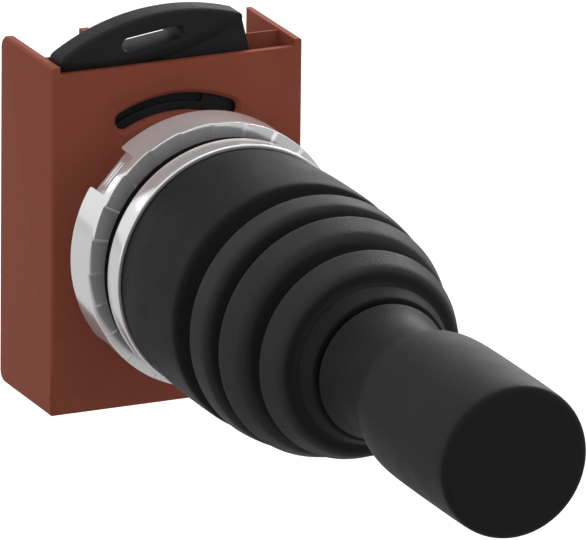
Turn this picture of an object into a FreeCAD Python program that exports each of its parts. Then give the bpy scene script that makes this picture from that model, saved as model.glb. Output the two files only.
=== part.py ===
import FreeCAD, Part
import os
import math

# Industrial joystick for a 22 mm panel hole, millimetres.
# Origin: barrel axis at the plane where the gasket meets the panel front.
# The stick points to -Y, the panel and the holder lie on the +Y side, Z is up.

os.makedirs("parts", exist_ok=True)

V = FreeCAD.Vector
X_DIR = V(1, 0, 0)
Y_DIR = V(0, 1, 0)
Z_DIR = V(0, 0, 1)
ORIGIN = V(0, 0, 0)

# Clearances
RUN = 0.03
STATIC = 0.02
SOFT_GAP = 0.3
FREE_GAP = 0.3

# Barrel and panel side
PILOT_R = 11.0
PILOT_LEN = 1.2
SEAT_R = 11.4
THREAD_R = 10.8
REAR_R = 10.2
BARREL_BORE_R = 9.3
SHOULDER_BORE_R = 8.9
TUBE_R = 11.5
TUBE_BORE_R = 10.2
TUBE_FRONT = -17.9
FLANGE_R = 13.0
FLANGE_FRONT = -1.45
FLANGE_REAR = -0.7
BARREL_REAR = 18.6

# Gasket and bezel
GASKET_R = 13.75
GASKET_RIM = 0.7
BEZEL_R = 13.95
BEZEL_IN_R = 12.6
BEZEL_T = 0.4
BEAD_R = 0.14

# Fixing nut
NUT_R = 14.95
NUT_FRONT = 1.23
NUT_REAR = 6.33
NUT_STEPS = 24
NUT_STEP_DEPTH = 0.3
NUT_STEP_WALL = 2.6
NUT_STEP_PHASE = 93.3
NUT_NOTCHES = 4
NUT_NOTCH_HALF = 10.1
NUT_NOTCH_MID = 137.7
NUT_NOTCH_FLOOR_R = 13.8
NUT_FLANGE = 1.47
NUT_EDGE = 0.25
NUT_RELIEF_R = 11.9
NUT_RELIEF = 2.0

# Holder
HOLDER_HALF = 14.84
HOLDER_TOP = 19.93
HOLDER_BOTTOM = -19.8
HOLDER_FRONT = 11.6
HOLDER_REAR = 25.8
PLATE_T = 0.8
PLATE_TOP = 19.08
WALL_T = 0.95
WALL_EDGE = 0.25
CROSS_FRONT = 15.94
CROSS_T = 1.0
CROSS_TOP = 19.77
CROSS_LAND = 0.3
CROSS_SLOPE = 1.6
RIB_IN = 4.51
RIB_OUT = 5.53
RIB_TOP = 19.45
FLOOR_Z = 16.5
FLOOR_T = 1.1
COLLAR_R = 11.4
SLOT_IN_R = 13.3
SLOT_OUT_R = 15.3
SLOT_HALF = 25.7
SLOT_BEVEL = 0.5
BAND_TOP = -15.07
BAND_BOTTOM = -17.25
BAND_STEP = 0.18
BAND_SLOPE = 0.25
REAR_ROUND = 1.4

# Lock lever
LEVER_R = 24.75
LEVER_FRONT = 12.85
LEVER_REAR = 15.05
LEVER_RING_R = HOLDER_HALF - WALL_T - FREE_GAP
LEVER_FOOT_Z = 17.6
LEVER_HIP_Z = 12.5
LEVER_HIP_IN = 1.1
LEVER_WAIST_Z = 9.6
LEVER_WAIST_IN = 2.1
LEVER_HEAD_IN = 0.55
LEVER_CORNER = 1.2
BOSS_FRONT = 11.9
BOSS_ARC_R = 33.0
BOSS_ARC_X = -1.05
BOSS_ARC_Z = 53.53
BOSS_SLOPE = 1.5
LEVER_TURN = 14.8
LEVER_SLOT_R = 22.0
LEVER_SLOT_LEN = 7.4
LEVER_SLOT_W = 1.6
LEVER_EDGE = 0.45
PAD_IN_R = 20.3
PAD_OUT_R = 23.9
PAD_HALF = 12.5
RECESS_IN_R = LEVER_RING_R + 0.5
RECESS_OUT_R = SLOT_OUT_R + 0.3
RECESS_A0 = 68.9
RECESS_A1 = 122.0
RECESS_T = 0.5

# Stick drive
PIVOT_Y = -10.0
GIMBAL_R = 7.5
GIMBAL_IN_R = 5.2
GIMBAL_T = 4.0
PIN_R = 1.25
BUSH_R = 2.0
HUB_R = 4.0
HUB_LEN = 6.0
SHAFT_R = 3.0
SHAFT_FRONT = -66.0
ROCKER_R = 8.0
ROCKER_REAR = -3.0
ROCKER_T = 2.0
SPIGOT_R = 2.0
GATE_HALF = 5.35
GATE_CORNER = 2.5
GATE_T = 1.7
GATE_R = 10.6

# Plungers
PLUNGER_AT = 6.5
PLUNGER_LIFT = 0.66
PLUNGER_HEAD_R = 1.5
PLUNGER_STEM_R = 1.2
PLUNGER_COLLAR_R = 2.15
PLUNGER_COLLAR_Y = 5.2
PLUNGER_COLLAR_T = 1.0
PLUNGER_REAR = 20.5
GUIDE_FRONT_Y = 1.6
GUIDE_FRONT_T = 1.5
GUIDE_REAR_Y = 13.9
GUIDE_REAR_T = 1.7
POST_R = 2.2
GUIDE_SCREW_R = 1.2
GUIDE_SCREW_HEAD_R = 2.2

# Boot outline, outer surface: distance along the axis, radius
BOOT_OUT = [
    (-1.9, 12.5), (-2.6, 12.95), (-4.0, 13.4), (-6.5, 13.85), (-9.5, 14.1),
    (-18.6, 14.14), (-19.1, 14.08), (-19.45, 13.8), (-20.9, 11.95),
    (-23.14, 13.95), (-25.5, 13.75), (-26.0, 13.6), (-26.35, 13.25), (-27.6, 11.25),
    (-29.2, 13.25), (-31.7, 12.45), (-32.2, 12.2), (-32.55, 11.85), (-33.9, 9.9),
    (-35.67, 11.4), (-37.9, 10.5), (-38.45, 10.25), (-38.75, 9.85), (-39.2, 8.8),
    (-39.66, 8.67), (-41.2, 7.9),
]
BOOT_IN = [
    (-41.2, 5.6), (-40.1, 5.6), (-39.9, 7.5), (-38.4, 7.9), (-37.6, 9.2),
    (-35.9, 10.0), (-34.0, 8.7), (-32.9, 9.3), (-31.7, 11.2), (-29.5, 12.0),
    (-27.8, 10.0), (-26.6, 10.7), (-25.4, 12.6), (-23.3, 12.8), (-21.1, 10.75),
    (-20.2, 11.3), (-18.9, 12.9), (-9.5, 12.9), (-6.0, 12.6), (-3.2, 12.0),
    (-3.0, 11.55), (-1.5, 11.55), (-1.5, 12.5),
]

BOOT_COLLAR_DEPTH = 2.2
BOOT_COLLAR_EDGE = 0.5

# Grip outline: distance along the axis, radius
GRIP_OUT = [
    (-41.85, 7.5), (-43.2, 6.95), (-45.0, 6.45), (-47.0, 6.25), (-48.8, 6.45),
    (-50.4, 7.05), (-52.0, 7.75), (-53.8, 8.15), (-56.5, 8.3), (-62.0, 8.38),
    (-68.0, 8.38), (-73.2, 8.3),
]
GRIP_TIP = -74.1
GRIP_TIP_ROUND = 0.5
SOCKET_R = 6.2
SOCKET_DEPTH = 3.0
NUT_FLATS = 8.5
NUT_HEIGHT = 2.2


def polar(radius, degrees, y):
    a = math.radians(degrees)
    return V(radius * math.cos(a), y, radius * math.sin(a))


def face_of(points):
    wire = Part.makePolygon(points + [points[0]])
    return Part.Face(wire)


def turned(outline):
    """Solid of revolution about the barrel axis from (y, radius) points."""
    points = [V(r, y, 0) for y, r in outline]
    return face_of(points).revolve(ORIGIN, Y_DIR, 360)


def tube(r_out, r_in, y0, y1):
    return turned([(y0, r_in), (y0, r_out), (y1, r_out), (y1, r_in)])


def rod(radius, start, direction, length):
    return Part.makeCylinder(radius, length, start, direction)


def box(x0, x1, y0, y1, z0, z1):
    return Part.makeBox(x1 - x0, y1 - y0, z1 - z0, V(x0, y0, z0))


def slab(points, y0, y1):
    """Flat outline of (x, z) points pushed from y0 to y1."""
    return face_of([V(x, y0, z) for x, z in points]).extrude(V(0, y1 - y0, 0))


def cone_between(r0, r1, y0, y1):
    return Part.makeCone(r0, r1, y1 - y0, V(0, y0, 0), Y_DIR)


def sector(r_in, r_out, a0, a1, y0, y1):
    """Ring sector between two polar angles with straight ends."""
    outer_mid = polar(r_out, (a0 + a1) / 2, y0)
    inner_mid = polar(r_in, (a0 + a1) / 2, y0)
    outer = Part.Arc(polar(r_out, a0, y0), outer_mid, polar(r_out, a1, y0)).toShape()
    inner = Part.Arc(polar(r_in, a1, y0), inner_mid, polar(r_in, a0, y0)).toShape()
    end_a = Part.makeLine(polar(r_out, a1, y0), polar(r_in, a1, y0))
    end_b = Part.makeLine(polar(r_in, a0, y0), polar(r_out, a0, y0))
    face = Part.Face(Part.Wire([outer, end_a, inner, end_b]))
    return face.extrude(V(0, y1 - y0, 0))


def arc_slot(r_in, r_out, a0, a1, y0, y1):
    """Ring sector with half-round ends."""
    mid = (r_in + r_out) / 2
    half = (r_out - r_in) / 2
    body = sector(r_in, r_out, a0, a1, y0, y1)
    for a in (a0, a1):
        body = body.fuse(rod(half, polar(mid, a, y0), Y_DIR, y1 - y0))
    return body.removeSplitter()


def hexagon(flats, y0, y1):
    corner = flats / 2 / math.cos(math.radians(30))
    points = [(corner * math.cos(math.radians(60 * i)), corner * math.sin(math.radians(60 * i)))
              for i in range(6)]
    return slab(points, y0, y1)


def save(name, shape):
    if len(shape.Solids) == 1:
        shape = shape.Solids[0]
    shape.exportStep("parts/" + name + ".step")


# Barrel: front tube, flange, panel pilot, thread body, clip groove, key slot
GROOVE_Y = CROSS_FRONT + CROSS_T + 0.06
CLIP_T = 0.5
CLIP_BED_R = 9.78
KEY_W = 2.4
KEY_Y0 = 12.2
KEY_Y1 = 15.0
KEY_BED_R = 9.75
INNER_CLIP_Y = GUIDE_REAR_Y + GUIDE_REAR_T + 0.04
INNER_CLIP_BED_R = 9.8


def make_barrel():
    gate_y = TUBE_FRONT + GATE_T
    outline = [
        (TUBE_FRONT, GATE_R), (TUBE_FRONT, TUBE_R), (FLANGE_FRONT, TUBE_R),
        (FLANGE_FRONT, FLANGE_R), (FLANGE_REAR, FLANGE_R), (FLANGE_REAR, SEAT_R),
        (0, SEAT_R), (0, PILOT_R), (PILOT_LEN, PILOT_R), (PILOT_LEN, THREAD_R),
        (HOLDER_FRONT - 0.3, THREAD_R), (HOLDER_FRONT, REAR_R), (GROOVE_Y, REAR_R),
        (GROOVE_Y, CLIP_BED_R), (GROOVE_Y + CLIP_T + 0.06, CLIP_BED_R),
        (GROOVE_Y + CLIP_T + 0.06, REAR_R), (BARREL_REAR - 0.3, REAR_R),
        (BARREL_REAR, REAR_R - 0.3), (BARREL_REAR, BARREL_BORE_R),
        (GUIDE_FRONT_Y, BARREL_BORE_R), (GUIDE_FRONT_Y, SHOULDER_BORE_R),
        (-1.0, SHOULDER_BORE_R), (-1.6, TUBE_BORE_R), (gate_y, TUBE_BORE_R),
        (gate_y, GATE_R),
    ]
    body = turned(outline)
    bush_bore = rod(BUSH_R, V(-TUBE_R - 1, PIVOT_Y, 0), X_DIR, 2 * TUBE_R + 2)
    slot = box(-KEY_W / 2, KEY_W / 2, KEY_Y0, KEY_Y1, -REAR_R - 1, -KEY_BED_R)
    body = body.cut(bush_bore).cut(slot)
    groove = tube(INNER_CLIP_BED_R, BARREL_BORE_R - 1, INNER_CLIP_Y, INNER_CLIP_Y + 0.56)
    return body.cut(groove)


def make_gasket():
    outline = [
        (FLANGE_FRONT + STATIC, FLANGE_R + 0.04), (FLANGE_FRONT + STATIC, GASKET_R - 0.1),
        (FLANGE_FRONT + 0.12, GASKET_R), (-0.12, GASKET_R), (0, GASKET_R - 0.12),
        (0, SEAT_R + STATIC), (FLANGE_REAR + STATIC, SEAT_R + STATIC),
        (FLANGE_REAR + STATIC, FLANGE_R + 0.04),
    ]
    return turned(outline)


def make_bezel():
    front = FLANGE_FRONT - BEZEL_T
    inner = BEZEL_IN_R + 0.04
    outline = [
        (FLANGE_FRONT, inner), (FLANGE_FRONT, BEZEL_R),
        (front + 0.18, BEZEL_R), (front + 0.02, BEZEL_R - 0.2), (front, BEZEL_R - 0.45),
        (front, inner + 2 * BEAD_R), (front - 0.5 * BEAD_R, inner + 1.85 * BEAD_R),
        (front - 0.9 * BEAD_R, inner + 1.4 * BEAD_R), (front - BEAD_R, inner + BEAD_R),
        (front - 0.85 * BEAD_R, inner + 0.45 * BEAD_R), (front - 0.4 * BEAD_R, inner),
    ]
    return turned(outline)


def make_nut():
    """Ring nut: sawtooth front, rear rim notches, relief at the front of the bore."""
    drop = NUT_STEP_DEPTH
    outline = [
        (NUT_FRONT + drop, NUT_RELIEF_R), (NUT_FRONT + drop, NUT_R - NUT_EDGE),
        (NUT_FRONT + drop + 0.1, NUT_R), (NUT_REAR - NUT_EDGE, NUT_R),
        (NUT_REAR, NUT_R - NUT_EDGE), (NUT_REAR, THREAD_R + 0.5),
        (NUT_REAR - 0.45, THREAD_R + 0.05), (NUT_FRONT + NUT_RELIEF, THREAD_R + 0.05),
        (NUT_FRONT + NUT_RELIEF, NUT_RELIEF_R),
    ]
    body = turned(outline)
    teeth = [make_tooth(i) for i in range(NUT_STEPS)]
    body = body.fuse(teeth)
    y0 = NUT_FRONT + NUT_FLANGE
    for i in range(NUT_NOTCHES):
        mid = NUT_NOTCH_MID + 360.0 / NUT_NOTCHES * i
        cut = sector(NUT_NOTCH_FLOOR_R, NUT_R + 1, mid - NUT_NOTCH_HALF,
                     mid + NUT_NOTCH_HALF, y0, NUT_REAR + 1)
        body = body.cut(cut)
    return body


def make_tooth(index):
    """One tooth of the sawtooth ring: a long rise and a short fall."""
    pitch = 360.0 / NUT_STEPS
    a0 = NUT_STEP_PHASE + pitch * index
    r0 = NUT_RELIEF_R
    r1 = NUT_R - NUT_EDGE
    base = NUT_FRONT + NUT_STEP_DEPTH + 0.05
    low = NUT_FRONT + NUT_STEP_DEPTH * 0.9
    angles = [a0, a0 + pitch - NUT_STEP_WALL, a0 + pitch]
    fronts = [low, NUT_FRONT, low]
    faces = []
    for k in range(3):
        pts = [polar(r0, angles[k], fronts[k]), polar(r1, angles[k], fronts[k]),
               polar(r1, angles[k], base), polar(r0, angles[k], base)]
        faces.append(Part.makePolygon(pts + [pts[0]]))
    return Part.makeLoft(faces, True, True)


# Holder: thin front plate, side walls, cross wall, rear frame, collar, ribs
def make_holder():
    inner = HOLDER_HALF - WALL_T
    plate = box(-inner, inner, HOLDER_FRONT, HOLDER_FRONT + PLATE_T, HOLDER_BOTTOM, PLATE_TOP)
    sides = [side_wall(-1), side_wall(1)]
    floor_top = box(-inner, inner, CROSS_FRONT, HOLDER_REAR, FLOOR_Z - FLOOR_T, FLOOR_Z)
    floor_low = box(-inner, inner, CROSS_FRONT, HOLDER_REAR, -FLOOR_Z, -FLOOR_Z + FLOOR_T)
    base = box(-inner, inner, HOLDER_FRONT, CROSS_FRONT + CROSS_T,
               HOLDER_BOTTOM, HOLDER_BOTTOM + WALL_T)
    collar = rod(COLLAR_R, V(0, HOLDER_FRONT, 0), Y_DIR, CROSS_FRONT - HOLDER_FRONT)
    pieces = sides + [floor_top, floor_low, cross_wall(), base, collar] + rear_ribs()
    body = plate.fuse(pieces).removeSplitter()
    bore = rod(REAR_R + 0.05, V(0, HOLDER_FRONT - 1, 0), Y_DIR, 10)
    keyway = box(-KEY_W / 2 - STATIC, KEY_W / 2 + STATIC, HOLDER_FRONT - 1,
                 KEY_Y1 + 0.3, -COLLAR_R + 0.5, 0)
    body = body.cut(bore).cut(keyway).cut(front_steps())
    return cut_arc_slot(body)


def cross_wall():
    """Wall behind the lever, its top edge thinned towards the rear."""
    inner = HOLDER_HALF - WALL_T
    y0 = CROSS_FRONT
    y1 = CROSS_FRONT + CROSS_T
    points = [V(-inner, y0, HOLDER_BOTTOM), V(-inner, y0, CROSS_TOP),
              V(-inner, y0 + CROSS_LAND, CROSS_TOP), V(-inner, y1, CROSS_TOP - CROSS_SLOPE),
              V(-inner, y1, HOLDER_BOTTOM)]
    return face_of(points).extrude(V(2 * inner, 0, 0))


def side_wall(side):
    inner = HOLDER_HALF - WALL_T
    tip = side * HOLDER_HALF
    foot = side * inner
    x0 = inner if side > 0 else -HOLDER_HALF
    wall = box(x0, x0 + WALL_T, HOLDER_FRONT, HOLDER_REAR, HOLDER_BOTTOM, HOLDER_TOP)
    rear = [e for e in wall.Edges if e.BoundBox.XLength > WALL_T / 2
            and abs(e.CenterOfMass.y - HOLDER_REAR) < 0.01]
    wall = wall.makeFillet(REAR_ROUND, rear)
    outer = [e for e in wall.Edges if e.BoundBox.XLength < 0.01
             and abs(e.CenterOfMass.x - tip) < 0.01]
    wall = wall.makeChamfer(WALL_EDGE, outer)
    points = [V(foot, HOLDER_REAR - REAR_ROUND, 0), V(foot, HOLDER_REAR + 1, 0),
              V(tip, HOLDER_REAR + 1, 0), V(tip, HOLDER_REAR, 0),
              V(tip - side * WALL_T / 6, HOLDER_REAR, 0)]
    wedge = face_of(points).extrude(V(0, 0, 4 * HOLDER_TOP))
    wedge.translate(V(0, 0, -2 * HOLDER_TOP))
    return wall.cut(wedge)


def rear_ribs():
    ribs = []
    for side in (-1, 1):
        x0 = RIB_IN if side > 0 else -RIB_OUT
        x1 = x0 + RIB_OUT - RIB_IN
        ribs.append(box(x0, x1, CROSS_FRONT + 0.5, HOLDER_REAR, FLOOR_Z - 0.5, RIB_TOP))
        ribs.append(box(x0, x1, CROSS_FRONT + 0.5, HOLDER_REAR, HOLDER_BOTTOM, -FLOOR_Z + 0.5))
    return ribs


def cut_arc_slot(body):
    """Arc slot through the front plate with a bevelled front edge."""
    slot = arc_slot(SLOT_IN_R, SLOT_OUT_R, 90 - SLOT_HALF, 90 + SLOT_HALF,
                    HOLDER_FRONT - 1, HOLDER_FRONT + PLATE_T + 0.2)
    body = body.cut(slot)
    rim = [e for e in body.Edges if e.BoundBox.YLength < 0.001
           and abs(e.BoundBox.YMin - HOLDER_FRONT) < 0.001
           and e.BoundBox.ZMin > COLLAR_R - 1 and e.BoundBox.ZMax < SLOT_OUT_R + 0.1]
    return body.makeChamfer(SLOT_BEVEL, rim)


def front_steps():
    """Two shallow steps back across the foot of the front face."""
    y = HOLDER_FRONT
    x = -HOLDER_HALF - 1
    points = [V(x, y - 1, BAND_TOP + BAND_SLOPE), V(x, y, BAND_TOP + BAND_SLOPE),
              V(x, y + BAND_STEP, BAND_TOP - BAND_SLOPE),
              V(x, y + BAND_STEP, BAND_BOTTOM + BAND_SLOPE),
              V(x, y + 2 * BAND_STEP, BAND_BOTTOM - BAND_SLOPE),
              V(x, y + 2 * BAND_STEP, HOLDER_BOTTOM - 1), V(x, y - 1, HOLDER_BOTTOM - 1)]
    return face_of(points).extrude(V(2 * HOLDER_HALF + 2, 0, 0))


# Lock lever: ring on the holder's collar, tab, lens-shaped boss, rear pad
def lever_half():
    """Half outline of the tab; its foot clears the side walls at both ends of the swing."""
    swing = math.radians(LEVER_TURN / 2)
    room = HOLDER_HALF - WALL_T - FREE_GAP
    foot = (room - LEVER_FOOT_Z * math.sin(swing)) / math.cos(swing)
    head = foot - LEVER_HEAD_IN
    return [(foot - LEVER_WAIST_IN, LEVER_WAIST_Z), (foot - LEVER_HIP_IN, LEVER_HIP_Z),
            (foot, LEVER_FOOT_Z), (head, math.sqrt(LEVER_R ** 2 - head ** 2))]


def tab_prism(y0, y1):
    """Tab between two depths, the corners at its rim rounded."""
    half = lever_half()
    left = [V(-x, y0, z) for x, z in half]
    right = [V(x, y0, z) for x, z in reversed(half)]
    lines = [Part.makeLine(p, q) for p, q in zip(left[:-1], left[1:])]
    lines.append(Part.Arc(left[-1], V(0, y0, LEVER_R), right[0]).toShape())
    lines += [Part.makeLine(p, q) for p, q in zip(right[:-1], right[1:])]
    lines.append(Part.makeLine(right[-1], left[0]))
    prism = Part.Face(Part.Wire(lines)).extrude(V(0, y1 - y0, 0))
    corners = [e for e in prism.Edges if e.BoundBox.XLength < 0.01
               and e.BoundBox.ZLength < 0.01 and e.CenterOfMass.z > LEVER_FOOT_Z + 0.5]
    return prism.makeFillet(LEVER_CORNER, corners)


def make_lever():
    ring = tube(LEVER_RING_R, COLLAR_R + 0.05, LEVER_FRONT, LEVER_REAR)
    web = tab_prism(LEVER_FRONT, LEVER_REAR)
    web = web.cut(rod((COLLAR_R + LEVER_RING_R) / 2, V(0, LEVER_FRONT - 1, 0), Y_DIR, 10))
    pad = sector(PAD_IN_R, PAD_OUT_R, 90 - PAD_HALF, 90 + PAD_HALF,
                 LEVER_REAR, CROSS_FRONT - 0.09)
    tab = web.fuse(lever_boss()).removeSplitter().common(rim_disc())
    body = ring.fuse([tab, pad]).removeSplitter()
    body = body.cut(lever_slot()).cut(lever_recess())
    body.rotate(ORIGIN, Y_DIR, -LEVER_TURN / 2)
    return body


def lever_boss():
    """Boss above the lower arc, its foot sloping back to the web's front."""
    prism = tab_prism(BOSS_FRONT, LEVER_FRONT + 0.3)
    cone = cone_between(BOSS_ARC_R, BOSS_ARC_R + BOSS_SLOPE, BOSS_FRONT, LEVER_FRONT)
    tail = rod(BOSS_ARC_R + BOSS_SLOPE, V(0, LEVER_FRONT, 0), Y_DIR, 1)
    keep = cone.fuse(tail)
    keep.translate(V(BOSS_ARC_X, 0, BOSS_ARC_Z))
    return prism.common(keep)


def rim_disc():
    """Disc about the barrel axis whose rounded edges round the tab's rim."""
    disc = rod(LEVER_R, V(0, BOSS_FRONT, 0), Y_DIR, LEVER_REAR - BOSS_FRONT)
    ends = [e for e in disc.Edges if abs(e.BoundBox.XLength - 2 * LEVER_R) < 0.01]
    return disc.makeFillet(LEVER_EDGE, ends)


def lever_slot():
    half = LEVER_SLOT_LEN / 2 - LEVER_SLOT_W / 2
    z = LEVER_SLOT_R
    w = LEVER_SLOT_W / 2
    y0 = BOSS_FRONT - 1
    length = CROSS_FRONT - y0
    cut = box(-half, half, y0, y0 + length, z - w, z + w)
    for x in (-half, half):
        cut = cut.fuse(rod(w, V(x, y0, z), Y_DIR, length))
    return cut.removeSplitter()


def lever_recess():
    return sector(RECESS_IN_R, RECESS_OUT_R, RECESS_A0, RECESS_A1,
                  LEVER_FRONT - 1, LEVER_FRONT + RECESS_T)


def make_lever_washer():
    """Three-wave spring washer between the lever's ring and the cross wall."""
    mid = (LEVER_REAR + CROSS_FRONT) / 2
    wave = 0.2
    thick = 0.3
    r0 = COLLAR_R + 0.1
    r1 = LEVER_RING_R - 0.3
    count = 24
    sections = []
    for i in range(count):
        a = 360.0 / count * i
        y = mid + wave * math.sin(math.radians(3 * a))
        pts = [polar(r0, a, y - thick / 2), polar(r1, a, y - thick / 2),
               polar(r1, a, y + thick / 2), polar(r0, a, y + thick / 2)]
        sections.append(pts)
    faces = []
    for i in range(count):
        p = sections[i]
        q = sections[(i + 1) % count]
        for k in range(4):
            m = (k + 1) % 4
            faces.append(face_of([p[k], p[m], q[m]]))
            faces.append(face_of([p[k], q[m], q[k]]))
    shell = Part.makeShell(faces)
    shell.sewShape()
    solid = Part.makeSolid(shell)
    if solid.Volume < 0:
        solid.reverse()
    return solid


# Clips and key that hold the holder and the rear guide
def snap_ring(r_out, r_in, y0, thick, gap_deg, gap_mid):
    ring = tube(r_out, r_in, y0, y0 + thick)
    gap = sector(r_in - 1, r_out + 1, gap_mid - gap_deg, gap_mid + gap_deg, y0 - 1, y0 + 2)
    return ring.cut(gap)


def make_holder_circlip():
    return snap_ring(REAR_R + 1.3, CLIP_BED_R + STATIC, GROOVE_Y + 0.03, CLIP_T, 16, -90)


def make_guide_circlip():
    return snap_ring(INNER_CLIP_BED_R - STATIC, BARREL_BORE_R - 0.45, INNER_CLIP_Y + 0.03, 0.5, 10, 45)


def make_key():
    half = KEY_W / 2 - STATIC
    return box(-half, half, KEY_Y0 + STATIC, KEY_Y1 - STATIC, -COLLAR_R + 0.55, -KEY_BED_R - STATIC)


# Gimbal, pins and bushes
def make_gimbal():
    y0 = PIVOT_Y - GIMBAL_T / 2
    body = tube(GIMBAL_R, GIMBAL_IN_R, y0, y0 + GIMBAL_T)
    ends = [e for e in body.Edges if abs(e.BoundBox.XLength - 2 * GIMBAL_R) < 0.01]
    body = body.makeChamfer(0.3, ends)
    x_bore = rod(PIN_R + STATIC, V(-GIMBAL_R - 1, PIVOT_Y, 0), X_DIR, 2 * GIMBAL_R + 2)
    z_bore = rod(PIN_R + RUN, V(0, PIVOT_Y, -GIMBAL_R - 1), Z_DIR, 2 * GIMBAL_R + 2)
    return body.cut(x_bore).cut(z_bore)


def make_trunnions():
    length = TUBE_R - 0.2 - GIMBAL_IN_R - 0.1
    right = rod(PIN_R, V(GIMBAL_IN_R + 0.1, PIVOT_Y, 0), X_DIR, length)
    left = rod(PIN_R, V(-GIMBAL_IN_R - 0.1, PIVOT_Y, 0), V(-1, 0, 0), length)
    return Part.makeCompound([right, left])


def make_bushes():
    length = TUBE_R - 0.15 - (GIMBAL_R + 0.6)
    made = []
    for side in (-1, 1):
        start = V(side * (GIMBAL_R + 0.6), PIVOT_Y, 0)
        outer = rod(BUSH_R - STATIC, start, V(side, 0, 0), length)
        flange = rod(BUSH_R + 0.6, start, V(side, 0, 0), 0.8)
        bore = rod(PIN_R + RUN, start + V(-side, 0, 0), V(side, 0, 0), length + 2)
        made.append(outer.fuse(flange).removeSplitter().cut(bore))
    return Part.makeCompound(made)


def make_cross_pin():
    return rod(PIN_R, V(0, PIVOT_Y, -GIMBAL_R + 0.25), Z_DIR, 2 * GIMBAL_R - 0.5)


# Stick: one turned shaft with a bored hub, rocker plate and its screw
def make_shaft():
    hub0 = PIVOT_Y - HUB_LEN / 2
    hub1 = PIVOT_Y + HUB_LEN / 2
    step = ROCKER_REAR - ROCKER_T - 0.02
    outline = [
        (SHAFT_FRONT, 0), (SHAFT_FRONT, SHAFT_R - 0.4), (SHAFT_FRONT + 0.4, SHAFT_R),
        (hub0 - 1.0, SHAFT_R), (hub0, HUB_R), (hub1, HUB_R), (hub1 + 0.6, SHAFT_R),
        (step, SHAFT_R), (step, SPIGOT_R), (ROCKER_REAR - 0.05, SPIGOT_R), (ROCKER_REAR - 0.05, 0),
    ]
    body = turned(outline)
    pin_bore = rod(PIN_R + STATIC, V(0, PIVOT_Y, -HUB_R - 1), Z_DIR, 2 * HUB_R + 2)
    screw_bore = rod(0.85, V(0, ROCKER_REAR - 3.4, 0), Y_DIR, 4)
    return body.cut(pin_bore).cut(screw_bore)


def make_rocker():
    """Disc with a stiffening boss and a bevelled rim."""
    y1 = ROCKER_REAR
    y0 = y1 - ROCKER_T
    outline = [
        (y0, SPIGOT_R + STATIC), (y0, SHAFT_R + 1.2), (y0 + 0.6, ROCKER_R - 1.0),
        (y0 + 0.9, ROCKER_R), (y1 - 0.2, ROCKER_R), (y1, ROCKER_R - 0.2),
        (y1, SPIGOT_R + STATIC),
    ]
    return turned(outline)


def make_rocker_screw():
    head = rod(2.6, V(0, ROCKER_REAR + 0.02, 0), Y_DIR, 1.0)
    shank = rod(0.82, V(0, ROCKER_REAR - 3.2, 0), Y_DIR, 3.5)
    body = head.fuse(shank).removeSplitter()
    recess = hexagon(1.6, ROCKER_REAR + 0.5, ROCKER_REAR + 2)
    return body.cut(recess)


def make_gate():
    """Square window that limits the tilt."""
    y0 = TUBE_FRONT
    y1 = y0 + GATE_T - STATIC
    disc = rod(GATE_R - STATIC, V(0, y0, 0), Y_DIR, y1 - y0)
    h = GATE_HALF
    window = box(-h, h, y0 - 1, y1 + 1, -h, h)
    edges = [e for e in window.Edges if e.BoundBox.YLength > 1]
    window = window.makeFillet(GATE_CORNER, edges)
    return disc.cut(window)


# Springs, wound from square wire
def coil(radius, top_radius, y0, y1, turns, wire):
    """Coil along +Y, its wire centre line running from y0 to y1."""
    height = y1 - y0
    angle = math.degrees(math.atan2(top_radius - radius, height))
    path = Part.makeHelix(height / turns, height, radius, angle)
    w = wire / 2
    corners = [V(radius - w, 0, -w), V(radius + w, 0, -w), V(radius + w, 0, w), V(radius - w, 0, w)]
    section = Part.makePolygon(corners + [corners[0]])
    solid = Part.Wire(path.Edges).makePipeShell([section], True, True)
    solid.rotate(ORIGIN, X_DIR, -90)
    solid.translate(V(0, y0, 0))
    return solid


SEAT_Y = -33.0
SPRING_WIRE = 0.8
SPRING_SMALL_R = 4.4
SPRING_LARGE_R = 9.4
CUP_R = 5.3
CUP_STEM_R = 3.7
CUP_BASE = 1.4
CUP_LIP = 0.4
CUP_STEM = 1.6


def make_return_spring():
    y1 = TUBE_FRONT - 0.05 - SPRING_WIRE / 2
    y0 = SEAT_Y + SOFT_GAP + SPRING_WIRE / 2
    return coil(SPRING_SMALL_R, SPRING_LARGE_R, y0, y1, 5, SPRING_WIRE)


def make_spring_seat():
    """Cup pressed on the shaft that takes the small end of the return spring."""
    outline = [
        (SEAT_Y - CUP_BASE, SHAFT_R + STATIC), (SEAT_Y - CUP_BASE, CUP_R - CUP_LIP),
        (SEAT_Y - CUP_BASE + CUP_LIP, CUP_R), (SEAT_Y, CUP_R), (SEAT_Y, CUP_STEM_R),
        (SEAT_Y + CUP_STEM, CUP_STEM_R), (SEAT_Y + CUP_STEM, SHAFT_R + STATIC),
    ]
    return turned(outline)


PLUNGER_WIRE = 0.4


def make_plunger_springs():
    y0 = PLUNGER_COLLAR_Y + PLUNGER_COLLAR_T + SOFT_GAP + PLUNGER_WIRE / 2
    y1 = GUIDE_REAR_Y - 0.03 - PLUNGER_WIRE / 2
    base = coil(1.72, 1.72, y0, y1, 6, PLUNGER_WIRE)
    made = []
    for x, z in plunger_places().values():
        one = base.copy()
        one.translate(V(x, 0, z))
        made.append(one)
    return Part.makeCompound(made)


# Plungers and their guides
def plunger_places():
    d = PLUNGER_AT
    return {"top": (0, d), "bottom": (0, -d), "right": (d, 0), "left": (-d, 0)}


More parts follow.
